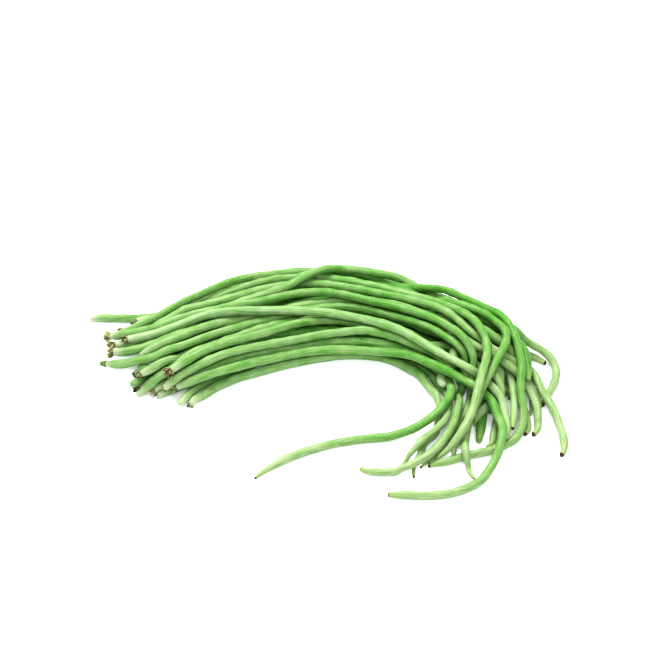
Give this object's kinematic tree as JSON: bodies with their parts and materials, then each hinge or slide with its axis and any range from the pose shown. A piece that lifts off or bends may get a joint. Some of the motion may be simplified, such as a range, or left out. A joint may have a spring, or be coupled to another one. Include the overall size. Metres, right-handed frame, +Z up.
{
  "type": "yardlong bean bunch",
  "caption": "Loose bunch of long thin green bean pods lying down, gathered at the stem ends, arched over and hooking forward into a spread of blunt tips.",
  "frame": {"origin": "middle of the bunch's box, on the surface that it lies on", "axes": "+X from the gathered stem ends towards the hooked ends, +Y towards the back of the arch, +Z up"},
  "size_m": [0.3994, 0.28, 0.0476],
  "materials": {
    "fresh_pod": "fresh green pod skin, satin and slightly waxy, density taken as that of leather",
    "pale_pod": "paler green pod skin, satin and slightly waxy",
    "deep_pod": "deeper green pod skin of the pods inside the mound"
  },
  "bodies": {
    "root": {"bean_back_curl": "fresh_pod", "bean_back_kick": "fresh_pod", "bean_back_loner": "fresh_pod", "bean_bottom_edge": "fresh_pod", "bean_centre_fall": "fresh_pod", "bean_cross_over": "fresh_pod", "bean_curl_tip": "fresh_pod", "bean_deep_fall": "deep_pod", "bean_deep_hook": "fresh_pod", "bean_dull_end": "fresh_pod", "bean_fan_front": "pale_pod", "bean_front_hook": "fresh_pod", "bean_hidden_1": "deep_pod", "bean_hidden_10": "deep_pod", "bean_hidden_11": "deep_pod", "bean_hidden_12": "deep_pod", "bean_hidden_13": "deep_pod", "bean_hidden_14": "deep_pod", "bean_hidden_2": "deep_pod", "bean_hidden_3": "deep_pod", "bean_hidden_4": "deep_pod", "bean_hidden_5": "deep_pod", "bean_hidden_6": "deep_pod", "bean_hidden_7": "deep_pod", "bean_hidden_8": "deep_pod", "bean_hidden_9": "deep_pod", "bean_inner_hook": "fresh_pod", "bean_left_deep": "deep_pod", "bean_left_reach": "fresh_pod", "bean_left_under": "fresh_pod", "bean_long_drop": "fresh_pod", "bean_pale_runner": "pale_pod", "bean_pale_tip": "pale_pod", "bean_right_drop": "fresh_pod", "bean_right_loop": "fresh_pod", "bean_short_right": "fresh_pod", "bean_stray": "fresh_pod", "bean_tucked_back": "fresh_pod", "bean_tucked_front": "fresh_pod", "bean_tucked_middle": "fresh_pod", "bean_under_runner": "fresh_pod"}
  },
  "joints": []
}
